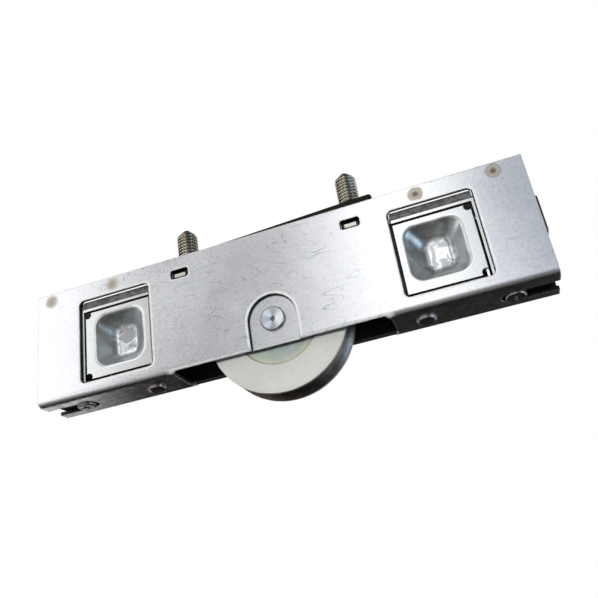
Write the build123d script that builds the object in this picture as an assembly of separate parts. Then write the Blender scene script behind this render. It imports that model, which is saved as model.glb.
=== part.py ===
from build123d import *
import math
import os

# Sliding door roller: a folded steel channel with a grooved wheel at its middle.
# X runs along the roller, Y through its depth, Z up.
# The origin is the wheel's lowest point, on the middle plane of the roller.

# Housing, the outer folded channel
housing_length = 140.0
housing_depth = 15.5
housing_height = 33.3
housing_sheet = 1.0
housing_bend = 2.0

# Wheel and its place in the housing
wheel_radius = 19.0
wheel_side_gap = 1.25
axle_height = 7.85
axle_radius = 3.0
axle_head_radius = 3.3
axle_head_height = 0.8
axle_head_chamfer = 0.2
axle_rim = 0.4
axle_dish_depth = 0.45
axle_dimple_radius = 0.5
axle_dimple_depth = 0.5

# Windows in the housing walls, one near each end
window_sill = 3.5
window_head_room = 5.0
window_corner = 1.6

# Arch in the housing walls that bares the axle heads
arch_half_width = 6.7

# Bottom opening for the wheel and the screw keys
throat_half_length = 29.5
throat_corner = 3.0
throat_bend_angle = 45.0

# Open-ended slots and rivet holes in the bottom
end_slot_width = 5.6
rivet_head_radius = 2.6
rivet_head_height = 1.0
rivet_head_round = 0.9
rivet_shank_radius = 1.9
rivet_upset_radius = 2.7
rivet_upset_height = 0.7
slot_screw_head_radius = 2.65
slot_screw_head_height = 1.6
slot_screw_head_round = 0.6
slot_screw_shank_radius = 1.5
slot_screw_length = 6.0
cross_width = 0.8
cross_span = 3.2
cross_depth = 0.55
locknut_flats = 5.0
locknut_height = 2.0

# Adjusting screws, M6, and what they pass through
screw_inset = 4.4
screw_radius = 2.95
screw_length = 25.0
screw_tip_left = 45.2
screw_tip_right = 48.0
screw_chamfer = 1.1
screw_foot_chamfer = 0.55
nub_radius = 1.15
nub_height = 0.9
socket_flats = 3.0
socket_depth = 3.5

# Nut plates
nut_plate_height = 27.8
nut_plate_sheet = 1.1
nut_plate_width = 9.6
tab_width = 4.2
tab_setback = 0.5
tab_side_gap = 0.4
tab_head_gap = 1.2
collar_radius = 4.3
collar_height = 1.6

# Slots in the housing walls that show the nut plate tabs
slot_width = 5.4
slot_height = 2.8
slot_corner = 0.8
slot_rise = 0.3

# Lock bar across the two screws
bar_end_reach = 6.8
bar_side_gap = 0.25
bar_sheet = 1.6
bar_rise = 2.85
bar_tilt = 2.14
bar_corner = 1.0

# Wheel yoke, the inner folded channel that carries the axle
yoke_half_length = 29.0
yoke_sheet = 1.0
wheel_top_room = 3.05
yoke_bend = 1.8
yoke_edge = 2.1
yoke_tongue_edge = 0.6
yoke_corner = 4.0

# End brackets with their pressed spring leaves
bracket_sheet = 0.8
bracket_bend = 1.3
bracket_top_drop = 0.7
web_recess = 0.2
web_foot = 3.4
floor_recess = 1.7
pad_width = 7.0
pad_height = 11.6
pad_middle = 18.5
pad_stand = 1.4
pad_corner = 1.5
pad_taper = 25.0
leaf_slit = 0.6
leaf_top_slit = 0.7
leaf_end_gap = 0.9
leaf_sill_gap = 1.1
leaf_relief_radius = 1.1
leaf_relief_inset = 0.9
leaf_crease = 0.5
strip_height = 1.0
strip_end_gap = 0.3
strip_offset = 4.0
flap_height = 2.9
flap_end_gap = 0.2
flap_top_gap = 0.5
pocket_shift = 0.85
pocket_floor_round = 3.2
pocket_lip_round = 1.3

# Places along each end, as shares of the room from the yoke to the housing's end
bracket_start_share = 0.088
window_inner_share = 0.127
rivet_share = 0.207
end_slot_share = 0.658
window_outer_share = 0.668
slot_screw_share = 0.744

# The pressed pocket, as shares of the window's width and height and of half the inner depth,
# then its narrowing and its mouth's corners as shares of its own width, and its floor's corners
pocket_width_share = 0.649
pocket_height_share = 0.617
pocket_depth_share = 0.68
pocket_narrowing_share = 0.44
pocket_corner_share = 0.215
pocket_floor_corner_share = 0.38

# Wheel layers
tyre_inner_radius = 14.0
core_flange = 0.8
groove_depth = 1.4
groove_land = 0.5
cap_radius = 11.5
cap_sheet = 0.7
cap_recess = 0.25
cap_bore_gap = 0.5
cap_chamfer = 0.25

# Ball bearing in the wheel
bearing_radius = 9.5
hub_recess = 1.5
ball_radius = 1.75
ball_count = 7
race_lip = 0.5
cage_half_width = 2.1
cage_half_height = 0.75

# Clearances
fixed_gap = 0.02
running_gap = 0.05
thread_gap = 0.07
screw_clearance = 0.3
ball_gap = 0.05
cage_pocket_gap = 0.1
seat_gap = 0.1

# Places worked out from the sizes above, heights counted from the wheel's lowest point
floor_z = wheel_radius - axle_height
housing_half = housing_length / 2
outer_face = housing_depth / 2
inner_face = outer_face - housing_sheet
yoke_inner_face = inner_face - yoke_sheet
yoke_top = axle_height + wheel_radius + wheel_top_room + yoke_sheet
end_room = housing_half - yoke_half_length
bracket_start = yoke_half_length + bracket_start_share * end_room
bracket_top = housing_height - bracket_top_drop
window_inner = yoke_half_length + window_inner_share * end_room
window_outer = yoke_half_length + window_outer_share * end_room
window_width = window_outer - window_inner
window_middle_x = (window_inner + window_outer) / 2
window_head = housing_height - window_head_room
window_height = window_head - window_sill
window_middle = (window_sill + window_head) / 2
rivet_x = yoke_half_length + rivet_share * end_room
slot_screw_x = yoke_half_length + slot_screw_share * end_room
end_slot_x = yoke_half_length + end_slot_share * end_room
screw_x = yoke_half_length - screw_inset
bar_half_length = screw_x + bar_end_reach
bar_width = 2 * (inner_face - bar_side_gap)
bar_height = yoke_top + bar_rise
leaf_outer = window_outer - leaf_end_gap
leaf_low = window_sill + leaf_sill_gap
leaf_high = window_head - strip_offset
flap_low = leaf_high + leaf_top_slit + strip_height
pocket_x = window_middle_x - pocket_shift
pocket_height = window_middle - pocket_shift
pocket_width = pocket_width_share * window_width
pocket_tall = pocket_height_share * window_height
pocket_depth = pocket_depth_share * inner_face
pocket_narrowing = pocket_narrowing_share * pocket_width
wheel_width = 2 * (yoke_inner_face - wheel_side_gap)
bearing_width = wheel_width - 2 * hub_recess
pitch_radius = (bearing_radius + axle_radius) / 2
past = 1.0


def at_floor(height):
    """Height above the housing's bottom face, turned into a model height."""
    return floor_z + height


def block(x_low, x_high, y_low, y_high, z_low, z_high):
    """A plain block between two corners."""
    middle = Pos((x_low + x_high) / 2, (y_low + y_high) / 2, (z_low + z_high) / 2)
    return middle * Box(x_high - x_low, y_high - y_low, z_high - z_low)


def rod_across(x, z, radius, length):
    """A round rod along Y, centred on the middle plane."""
    return Pos(x, 0, z) * Rot(90, 0, 0) * Cylinder(radius, length)


def post(x, radius, z_low, z_high):
    """A round post along Z on the middle plane."""
    return Pos(x, 0, (z_low + z_high) / 2) * Cylinder(radius, z_high - z_low)


def through_walls(x, z, width, height, corner):
    """A cutter with round corners that goes through both walls."""
    outline = Plane.XZ * Pos(x, z) * RectangleRounded(width, height, corner)
    return extrude(outline, amount=housing_depth, both=True)


def turned(points):
    """A body turned about the wheel's axis from (radius, across) points."""
    outline = Polyline([(radius, across, 0) for radius, across in points], close=True)
    body = revolve(make_face(outline), Axis.Y, 360)
    return Pos(0, 0, wheel_radius) * body


def folded_channel(x_low, x_high, half_depth, sheet, bend, z_low, z_high):
    """An upright U: a floor with a wall on each side, folded from one sheet."""
    outside = block(x_low, x_high, -half_depth, half_depth, z_low, z_high)
    outside = fillet(outside.edges().filter_by(Axis.X).group_by(Axis.Z)[0], bend)
    wall = half_depth - sheet
    inside = block(x_low - past, x_high + past, -wall, wall, z_low + sheet, z_high + past)
    inside = fillet(inside.edges().filter_by(Axis.X).group_by(Axis.Z)[0], bend - sheet)
    return outside - inside


def both_ends(tool):
    """The same tool at the right end and, mirrored, at the left end."""
    return tool + tool.mirror(Plane.YZ)


def housing_throat():
    """Bottom opening: a round-cornered plan whose sides end part way up the bends."""
    bend_centre = outer_face - housing_bend
    reach = housing_bend + past
    slope = math.tan(math.radians(throat_bend_angle))
    section = Polyline(
        [
            (0, -bend_centre, at_floor(housing_bend)),
            (0, -bend_centre - reach, at_floor(housing_bend - reach * slope)),
            (0, bend_centre + reach, at_floor(housing_bend - reach * slope)),
            (0, bend_centre, at_floor(housing_bend)),
        ],
        close=True,
    )
    trough = extrude(make_face(section), amount=throat_half_length, both=True, dir=(1, 0, 0))
    plan = RectangleRounded(2 * throat_half_length, housing_depth, throat_corner)
    column = extrude(Plane.XY.offset(floor_z - past) * plan, amount=housing_bend + 2 * past)
    return trough & column


def arch_cutter():
    """Arch round the axle head, open at the bottom edge, through both walls."""
    crown = rod_across(0, wheel_radius, arch_half_width, 2 * housing_depth)
    legs = block(
        -arch_half_width,
        arch_half_width,
        -housing_depth,
        housing_depth,
        floor_z - past,
        wheel_radius,
    )
    return crown + legs


def end_slot_cutter():
    """Slot in the bottom, open at the end and round at its inner end."""
    inner_x = end_slot_x + end_slot_width / 2
    low = floor_z - past
    high = at_floor(housing_sheet) + seat_gap
    half = end_slot_width / 2
    return block(inner_x, housing_half + past, -half, half, low, high) + post(inner_x, half, low, high)


def make_outer_housing():
    """Outer channel with its windows, slots, arch and bottom opening."""
    body = folded_channel(
        -housing_half,
        housing_half,
        outer_face,
        housing_sheet,
        housing_bend,
        floor_z,
        at_floor(housing_height),
    )
    window_z = at_floor(window_middle)
    window = through_walls(window_middle_x, window_z, window_width, window_height, window_corner)
    slot_z = at_floor(nut_plate_height + slot_rise)
    slot = through_walls(screw_x, slot_z, slot_width, slot_height, slot_corner)
    rivet_bore = rivet_shank_radius + running_gap
    rivet_hole = post(rivet_x, rivet_bore, floor_z - past, at_floor(housing_sheet) + past)
    body -= both_ends(window)
    body -= both_ends(slot)
    body -= arch_cutter()
    body -= housing_throat()
    body -= both_ends(end_slot_cutter())
    body -= both_ends(rivet_hole)
    return body


def make_wheel_yoke():
    """Inverted inner channel that carries the axle, the nut plates and the screws."""
    top_z = at_floor(yoke_top)
    low_z = at_floor(yoke_edge)
    outside = block(-yoke_half_length, yoke_half_length, -inner_face, inner_face, low_z, top_z)
    outside = fillet(outside.edges().filter_by(Axis.X).group_by(Axis.Z)[-1], yoke_bend)
    outside = fillet(outside.edges().filter_by(Axis.Y).group_by(Axis.Z)[0], yoke_corner)
    tongue_half = arch_half_width - running_gap
    tongue_z = at_floor(yoke_tongue_edge)
    outside += block(-tongue_half, tongue_half, -inner_face, inner_face, tongue_z, low_z + past)
    span = yoke_half_length + past
    wall = yoke_inner_face
    inside = block(-span, span, -wall, wall, floor_z - past, top_z - yoke_sheet)
    inside = fillet(inside.edges().filter_by(Axis.X).group_by(Axis.Z)[-1], yoke_bend - yoke_sheet)
    body = outside - inside
    body -= rod_across(0, wheel_radius, axle_radius + fixed_gap, housing_depth)
    tab_hole = through_walls(
        screw_x,
        at_floor(nut_plate_height) + tab_head_gap / 2,
        tab_width + 2 * tab_side_gap,
        nut_plate_sheet + tab_head_gap,
        seat_gap,
    )
    body -= both_ends(tab_hole)
    screw_hole = post(screw_x, screw_radius + screw_clearance, top_z - 2 * yoke_sheet, top_z + past)
    body -= both_ends(screw_hole)
    return body


def pocket_plug(grow, floor_round):
    """Tapered plug with round corners that goes inwards from the front leaf's outer face."""
    slope = pocket_narrowing / 2 / pocket_depth
    spread = grow * math.hypot(1, slope)
    wide = pocket_width + 2 * spread
    tall = pocket_tall + 2 * spread
    narrowing = pocket_narrowing + 2 * grow * slope
    corner = pocket_corner_share * pocket_width + spread
    floor_corner = pocket_floor_corner_share * (min(wide, tall) - narrowing)
    face = Plane(origin=(pocket_x, -inner_face, at_floor(pocket_height)), x_dir=(1, 0, 0), z_dir=(0, 1, 0))
    mouth = face * RectangleRounded(wide, tall, corner)
    floor = face.offset(pocket_depth + grow)
    bottom = floor * RectangleRounded(wide - narrowing, tall - narrowing, floor_corner)
    plug = loft([mouth.face(), bottom.face()], ruled=True)
    return fillet(plug.faces().sort_by(Axis.Y)[-1].edges(), floor_round)


def press_pocket(body):
    """Presses the pocket into the front leaf, with a rounded lip."""
    back = pocket_plug(bracket_sheet, pocket_floor_round + bracket_sheet)
    front = pocket_plug(0, pocket_floor_round)
    body = body + back - front
    lips = [
        edge
        for face in body.faces().filter_by(Axis.Y).group_by(Axis.Y)[0]
        for edge in face.edges()
        if abs(edge.center().X - pocket_x) < pocket_width / 2 + seat_gap
        and abs(edge.center().Z - at_floor(pocket_height)) < pocket_tall / 2 + seat_gap
    ]
    return fillet(lips, pocket_lip_round)


def leaf_slits():
    """Cuts through both bracket walls that free each leaf on three sides, and the space above."""
    low = at_floor(leaf_low)
    high = at_floor(leaf_high)
    deep = housing_depth
    cut = block(window_inner, leaf_outer, -deep, deep, low - leaf_slit, low)
    cut += block(window_inner, leaf_outer, -deep, deep, high, high + leaf_top_slit)
    cut += block(leaf_outer - leaf_slit, leaf_outer, -deep, deep, low, high)
    relief_x = leaf_outer - leaf_slit / 2 - leaf_relief_inset
    cut += rod_across(relief_x, low - leaf_slit / 2 + leaf_relief_inset, leaf_relief_radius, 2 * deep)
    cut += rod_across(relief_x, high + leaf_top_slit / 2 - leaf_relief_inset, leaf_relief_radius, 2 * deep)
    space = through_walls(
        window_middle_x,
        at_floor(flap_low + flap_height / 2),
        window_width - 2 * strip_end_gap,
        flap_height,
        window_corner / 2,
    )
    return cut + space


def leaf_creases():
    """Creases in the outer faces of both walls, along the line where each leaf bends."""
    crease = Rot(0, 0, 45) * Box(leaf_crease, leaf_crease, leaf_high - leaf_low)
    crease = Pos(window_inner + leaf_crease, 0, at_floor((leaf_low + leaf_high) / 2)) * crease
    return Pos(0, -inner_face, 0) * crease + Pos(0, inner_face, 0) * crease


def strip_flap():
    """Flap above the front leaf, folded in from its strip until it stands behind the wall."""
    low = at_floor(flap_low)
    high = at_floor(flap_low + flap_height - flap_top_gap)
    outline = Polyline(
        [
            (0, -inner_face, low - strip_height / 2),
            (0, -inner_face, low),
            (0, -inner_face + bracket_sheet, high),
            (0, -inner_face + 2 * bracket_sheet, high),
            (0, -inner_face + bracket_sheet, low),
            (0, -inner_face + bracket_sheet, low - strip_height / 2),
        ],
        close=True,
    )
    length = window_width - 2 * strip_end_gap - 2 * flap_end_gap
    flap = extrude(make_face(outline), amount=length / 2, both=True, dir=(1, 0, 0))
    return Pos(window_middle_x, 0, 0) * flap


def pad_plug(wall, start_x):
    """Tapered plug of the bump pad, that goes outwards from start_x."""
    outline = Plane.YZ.offset(start_x) * Pos(0, at_floor(pad_middle))
    corner = pad_corner - wall / 2
    face = outline * RectangleRounded(pad_width - 2 * wall, pad_height - 2 * wall, corner)
    return extrude(face, amount=pad_stand, taper=pad_taper)


def end_web():
    """Upright end plate of the bracket with its embossed bump pad."""
    outer_x = housing_half - web_recess
    inner_x = outer_x - bracket_sheet
    plate = block(
        inner_x,
        outer_x,
        -inner_face,
        inner_face,
        at_floor(web_foot),
        at_floor(bracket_top),
    )
    boss = pad_plug(0, outer_x)
    boss = fillet(boss.faces().sort_by(Axis.X)[-1].edges(), bracket_sheet / 2)
    return plate + boss - pad_plug(bracket_sheet, inner_x)


def make_end_bracket():
    """Right end bracket: a channel spot welded inside the housing, with two leaves."""
    low_z = at_floor(housing_sheet)
    web_x = housing_half - web_recess
    body = folded_channel(
        bracket_start,
        web_x,
        inner_face,
        bracket_sheet,
        bracket_bend,
        low_z,
        at_floor(bracket_top),
    )
    floor_end = housing_half - floor_recess
    body -= block(floor_end, web_x + past, -inner_face, inner_face, low_z - past, at_floor(web_foot))
    body += end_web()
    body -= leaf_slits()
    body -= leaf_creases()
    body += strip_flap()
    body += strip_flap().mirror(Plane.XZ)
    body = press_pocket(body)
    body = press_pocket(body.mirror(Plane.XZ)).mirror(Plane.XZ)
    above = at_floor(housing_sheet + bracket_sheet) + past
    body -= post(rivet_x, rivet_shank_radius + running_gap, floor_z, above)
    body -= post(slot_screw_x, slot_screw_shank_radius + running_gap, floor_z, above)
    return body


def make_floor_rivet():
    """Round-headed rivet that holds the bracket floor to the housing bottom."""
    sheets = at_floor(housing_sheet + bracket_sheet)
    head = post(rivet_x, rivet_head_radius, at_floor(-rivet_head_height), floor_z)
    head = fillet(head.edges().group_by(Axis.Z)[0], rivet_head_round)
    body = head + post(rivet_x, rivet_shank_radius, floor_z - past / 2, sheets + rivet_upset_height)
    return body + post(rivet_x, rivet_upset_radius, sheets, sheets + rivet_upset_height)


def make_slot_screw():
    """Cross-slotted screw under the bracket floor, seen in the open-ended slot."""
    x = slot_screw_x
    under = at_floor(housing_sheet)
    head_low = under - slot_screw_head_height
    head = post(x, slot_screw_head_radius, head_low, under)
    head = fillet(head.edges().group_by(Axis.Z)[0], slot_screw_head_round)
    body = head + post(x, slot_screw_shank_radius, under - past / 2, under + slot_screw_length)
    half = cross_span / 2
    thin = cross_width / 2
    top = head_low + cross_depth
    body -= block(x - half, x + half, -thin, thin, head_low - past, top)
    body -= block(x - thin, x + thin, -half, half, head_low - past, top)
    return body


def make_slot_nut():
    """Hexagon nut that clamps the slot screw on the bracket floor."""
    x = slot_screw_x
    low = at_floor(housing_sheet + bracket_sheet)
    outline = RegularPolygon(locknut_flats / 2, 6, major_radius=False)
    body = extrude(Plane.XY.offset(low) * Pos(x, 0) * outline, amount=locknut_height)
    return body - post(x, slot_screw_shank_radius + running_gap, low - past, low + locknut_height + past)


def make_axle():
    """Axle peened over at both ends, each head dished round a centre mark."""
    head_out = inner_face + axle_head_height
    dish_edge = axle_head_radius - axle_rim
    half = [
        (axle_radius, inner_face),
        (axle_head_radius, inner_face),
        (axle_head_radius, head_out - axle_head_chamfer),
        (axle_head_radius - axle_head_chamfer, head_out),
        (dish_edge, head_out),
        (axle_dimple_radius, head_out - axle_dish_depth),
        (0, head_out - axle_dish_depth - axle_dimple_depth),
    ]
    other = [(radius, -across) for radius, across in reversed(half)]
    return turned(half + other)


def make_spacer():
    """Front spacer between the bearing's inner ring and the yoke wall."""
    bore = axle_radius + running_gap
    rim = pitch_radius - ball_radius - seat_gap
    near = -bearing_width / 2
    far = -yoke_inner_face
    return turned([(bore, near), (rim, near), (rim, far), (bore, far)])


def ball_track():
    """Ring that the balls sweep, with room to run."""
    circle = Pos(pitch_radius, 0) * Circle(ball_radius + ball_gap)
    return Pos(0, 0, wheel_radius) * revolve(circle, Axis.Y, 360)


def make_bearing_inner_ring():
    """Inner race on the axle."""
    half = bearing_width / 2
    bore = axle_radius + fixed_gap
    rim = pitch_radius - ball_radius + race_lip
    return turned([(bore, -half), (rim, -half), (rim, half), (bore, half)]) - ball_track()


def make_bearing_outer_ring():
    """Outer race in the wheel's hub."""
    half = bearing_width / 2
    bore = pitch_radius + ball_radius - race_lip
    rim = bearing_radius - fixed_gap
    return turned([(bore, -half), (rim, -half), (rim, half), (bore, half)]) - ball_track()


def ball_places():
    """Places of the ball centres round the axle."""
    for index in range(ball_count):
        angle = 2 * math.pi * index / ball_count
        yield Pos(pitch_radius * math.cos(angle), 0, wheel_radius + pitch_radius * math.sin(angle))


def make_bearing_balls():
    """The balls, as one group of separate solids."""
    return Compound([place * Sphere(ball_radius) for place in ball_places()])


def make_bearing_cage():
    """Ring with a round seat for each ball."""
    low = pitch_radius - cage_half_height
    high = pitch_radius + cage_half_height
    half = cage_half_width
    body = turned([(low, -half), (high, -half), (high, half), (low, half)])
    for place in ball_places():
        body -= place * Sphere(ball_radius + cage_pocket_gap)
    return body


def make_wheel_core():
    """Moulded hub with a thin flange each side of the tyre."""
    face = wheel_width / 2
    shoulder = bearing_width / 2
    flange_in = face - core_flange
    edge = wheel_radius
    half = [
        (bearing_radius, 0),
        (bearing_radius, shoulder),
        (cap_radius, shoulder),
        (cap_radius, face),
        (edge, face),
        (edge, flange_in),
        (tyre_inner_radius, flange_in),
        (tyre_inner_radius, 0),
    ]
    other = [(radius, -across) for radius, across in reversed(half[1:-1])]
    return turned(half + other)


def make_wheel_tyre():
    """Steel running ring with a hollow groove for the rail."""
    half = wheel_width / 2 - core_flange - fixed_gap
    lip = half - groove_land
    rim = wheel_radius
    low = tyre_inner_radius + fixed_gap
    ring = Polyline([(rim, lip), (rim, half), (low, half), (low, -half), (rim, -half), (rim, -lip)])
    hollow = ThreePointArc((rim, -lip), (rim - groove_depth, 0), (rim, lip))
    body = revolve(make_face(Wire([*ring.edges(), *hollow.edges()])), Axis.Y, 360)
    return Pos(0, 0, wheel_radius) * body


def make_dust_cap():
    """Front dust cap let into the wheel's face over the bearing."""
    bore = pitch_radius - ball_radius - seat_gap + cap_bore_gap
    rim = cap_radius - fixed_gap
    out = -(wheel_width / 2 - cap_recess)
    inside = out + cap_sheet
    body = turned([(bore, out), (rim, out), (rim, inside), (bore, inside)])
    foot = turned(
        [
            (rim - cap_sheet, inside),
            (rim, inside),
            (rim, -bearing_width / 2 - fixed_gap),
            (rim - cap_sheet, -bearing_width / 2 - fixed_gap),
        ]
    )
    body += foot
    return chamfer(body.edges().filter_by(GeomType.CIRCLE).group_by(Axis.Y)[0], cap_chamfer)


def make_nut_plate():
    """Cross plate with a threaded collar and a tab through each wall."""
    z = at_floor(nut_plate_height)
    thin = nut_plate_sheet / 2
    wide = nut_plate_width / 2
    wall = yoke_inner_face - seat_gap
    tab = outer_face - tab_setback
    body = block(screw_x - wide, screw_x + wide, -wall, wall, z - thin, z + thin)
    half_tab = tab_width / 2
    body += block(screw_x - half_tab, screw_x + half_tab, -tab, tab, z - thin, z + thin)
    body += post(screw_x, collar_radius, z - thin - collar_height, z)
    return body - post(screw_x, screw_radius + thread_gap, z - collar_height - 2 * past, z + past)


def make_adjusting_screw(x, tip):
    """Set screw with a nub at its top and a hexagon socket at its lower end."""
    top = at_floor(tip) - nub_height
    low = at_floor(tip) - screw_length
    body = post(x, screw_radius, low, top)
    body = chamfer(body.edges().group_by(Axis.Z)[-1], screw_chamfer)
    body = chamfer(body.edges().group_by(Axis.Z)[0], screw_foot_chamfer)
    body += post(x, nub_radius, top - past, top + nub_height)
    outline = RegularPolygon(socket_flats / 2, 6, major_radius=False)
    return body - extrude(Plane.XY.offset(low) * Pos(x, 0) * outline, amount=socket_depth)


def make_lock_bar():
    """Flat bar carried by the two screws, tilted as the screws stand."""
    outline = RectangleRounded(2 * bar_half_length, bar_width, bar_corner)
    bar = extrude(outline, amount=bar_sheet / 2, both=True)
    bar = Pos(0, 0, at_floor(bar_height)) * Rot(0, -bar_tilt, 0) * bar
    low = at_floor(bar_height - screw_radius)
    high = at_floor(bar_height + screw_radius)
    return bar - both_ends(post(screw_x, screw_radius + seat_gap, low, high))


def save(name, shape):
    """Writes one sub-part as a STEP file."""
    shape.label = name
    export_step(shape, "parts/" + name + ".step")


def save_pair(name, shape, plane, first, second):
    """Writes a sub-part and its mirror image."""
    save(name + first, shape)
    save(name + second, shape.mirror(plane))


os.makedirs("parts", exist_ok=True)
save("outer_housing", make_outer_housing())
save("wheel_yoke", make_wheel_yoke())
save("axle", make_axle())
save("bearing_inner_ring", make_bearing_inner_ring())
save("bearing_outer_ring", make_bearing_outer_ring())
save("bearing_balls", make_bearing_balls())
save("bearing_cage", make_bearing_cage())
save("wheel_core", make_wheel_core())
save("wheel_tyre", make_wheel_tyre())
save("lock_bar", make_lock_bar())
save("adjusting_screw_left", make_adjusting_screw(-screw_x, screw_tip_left))
save("adjusting_screw_right", make_adjusting_screw(screw_x, screw_tip_right))
save_pair("dust_cap", make_dust_cap(), Plane.XZ, "_front", "_rear")
save_pair("spacer", make_spacer(), Plane.XZ, "_front", "_rear")
save_pair("nut_plate", make_nut_plate(), Plane.YZ, "_right", "_left")
save_pair("end_bracket", make_end_bracket(), Plane.YZ, "_right", "_left")
save_pair("floor_rivet", make_floor_rivet(), Plane.YZ, "_right", "_left")
save_pair("slot_screw", make_slot_screw(), Plane.YZ, "_right", "_left")
save_pair("slot_nut", make_slot_nut(), Plane.YZ, "_right", "_left")
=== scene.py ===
import math

import bpy
from mathutils import Euler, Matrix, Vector


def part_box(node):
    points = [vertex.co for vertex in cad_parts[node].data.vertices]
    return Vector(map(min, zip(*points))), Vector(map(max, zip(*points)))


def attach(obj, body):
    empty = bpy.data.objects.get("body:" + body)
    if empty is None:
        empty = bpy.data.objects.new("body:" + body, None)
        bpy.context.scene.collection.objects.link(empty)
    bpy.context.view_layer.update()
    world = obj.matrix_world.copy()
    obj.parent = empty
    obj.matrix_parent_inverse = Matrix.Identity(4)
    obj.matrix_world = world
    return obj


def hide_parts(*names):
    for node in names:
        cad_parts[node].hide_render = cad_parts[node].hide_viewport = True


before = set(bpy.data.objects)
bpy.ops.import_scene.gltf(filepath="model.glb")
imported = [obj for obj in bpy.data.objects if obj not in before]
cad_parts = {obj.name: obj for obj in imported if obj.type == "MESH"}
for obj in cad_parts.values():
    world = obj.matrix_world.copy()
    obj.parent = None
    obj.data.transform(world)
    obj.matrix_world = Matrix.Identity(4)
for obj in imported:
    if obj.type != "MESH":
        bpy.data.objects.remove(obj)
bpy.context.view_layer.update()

MM = 0.001

# Places on the object, metres in the shared frame
FLOOR_Z = 11.15 * MM
WHEEL_Z = 19.0 * MM
WHEEL_RADIUS = 19.0 * MM
OUTER_FACE = 7.75 * MM
THROAT_HALF = 29.5 * MM
THROAT_EDGE_Z = FLOOR_Z + 0.59 * MM
CREASE_X = 34.71 * MM
FLAP_Z = FLOOR_Z + 27.4 * MM

# Outlines of the openings in the walls: middle, half width, half height, corner
ARCH = (0.0, 9.0 * MM, 6.7 * MM, 16.7 * MM, 6.7 * MM)
WINDOW = (45.3 * MM, 27.05 * MM, 11.09 * MM, 12.4 * MM, 1.6 * MM)
TAB_SLOT = (24.6 * MM, 39.25 * MM, 2.7 * MM, 1.4 * MM, 0.8 * MM)
TAB_END = (24.6 * MM, 39.25 * MM, 1.55 * MM, 0.75 * MM, 0.2 * MM)

# Inner faces of the folded walls, from the middle plane
HOUSING_WALL = 6.72 * MM
YOKE_WALL = 5.72 * MM
BRACKET_WALL = 5.92 * MM
NO_WALL = 9.0 * MM

# Axle head and dust cap, as radii
AXLE_HEAD_RADIUS = 3.2 * MM
AXLE_MARK_RADIUS = 0.55 * MM
CAP_RADIUS = 11.45 * MM

# Adjusting screw and its thread
SCREW_X = 24.6 * MM
SCREW_RADIUS = 2.95 * MM
THREAD_PITCH = 1.0 * MM
THREAD_DEPTH = 0.55 * MM
THREAD_COLUMNS = 72
ROWS_PER_PITCH = 10
CHAMFER = 1.1 * MM
NUB_RADIUS = 1.15 * MM
NUB_HEIGHT = 0.9 * MM
SOCKET_HALF_FLATS = 1.5 * MM
SOCKET_DEPTH = 3.5 * MM

# Spot welds on both walls
WELD_SHIFT = 1.4 * MM
WELD_NEAR = 44.0 * MM
WELD_FAR = 64.0 * MM
WELD_Z = FLOOR_Z + 30.9 * MM

# Camera, from the fit to the photograph
CAMERA_PLACE = (47.08 * MM, -163.18 * MM, -50.76 * MM)
CAMERA_TURN = (114.714, 8.512, 18.046)
CAMERA_LENS = 41.52
SENSOR_WIDTH = 36.0

# How much of a sheet's look is mirror-like, the rest being dull. Its underside is all mirror-like
SHEET_METALLIC = 0.82

# Middle of the painted highlight patch beside the left slot in the bottom
SLOT_HIGHLIGHT = (-66.0 * MM, 3.4 * MM)

# Colours of painted highlight and shade, scratches and heat marks
# Near white, a painted highlight on edges, rims and a patch by the left slot
PAINTED_HIGHLIGHT = (0.97, 0.97, 0.96)
# Near black, painted shade for the dark lines on the brackets
PAINTED_SHADE_BLACK = (0.02, 0.02, 0.02)
SCRATCH_BLUE = (0.12, 0.14, 0.21)
HEAT_TAN = (0.50, 0.43, 0.32)
HEAT_BROWN = (0.24, 0.18, 0.11)

# The front is scratched most between these places, and hardly at all past them
SCRATCHED_LEFT = (-58.0 * MM, -40.0 * MM)
SCRATCHED_RIGHT = (8.0 * MM, 24.0 * MM)

# Share of the world's light that falls on dull surfaces, so that the key light's shadows show
DIFFUSE_SHARE = 0.35


# Small helpers for building node trees

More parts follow.
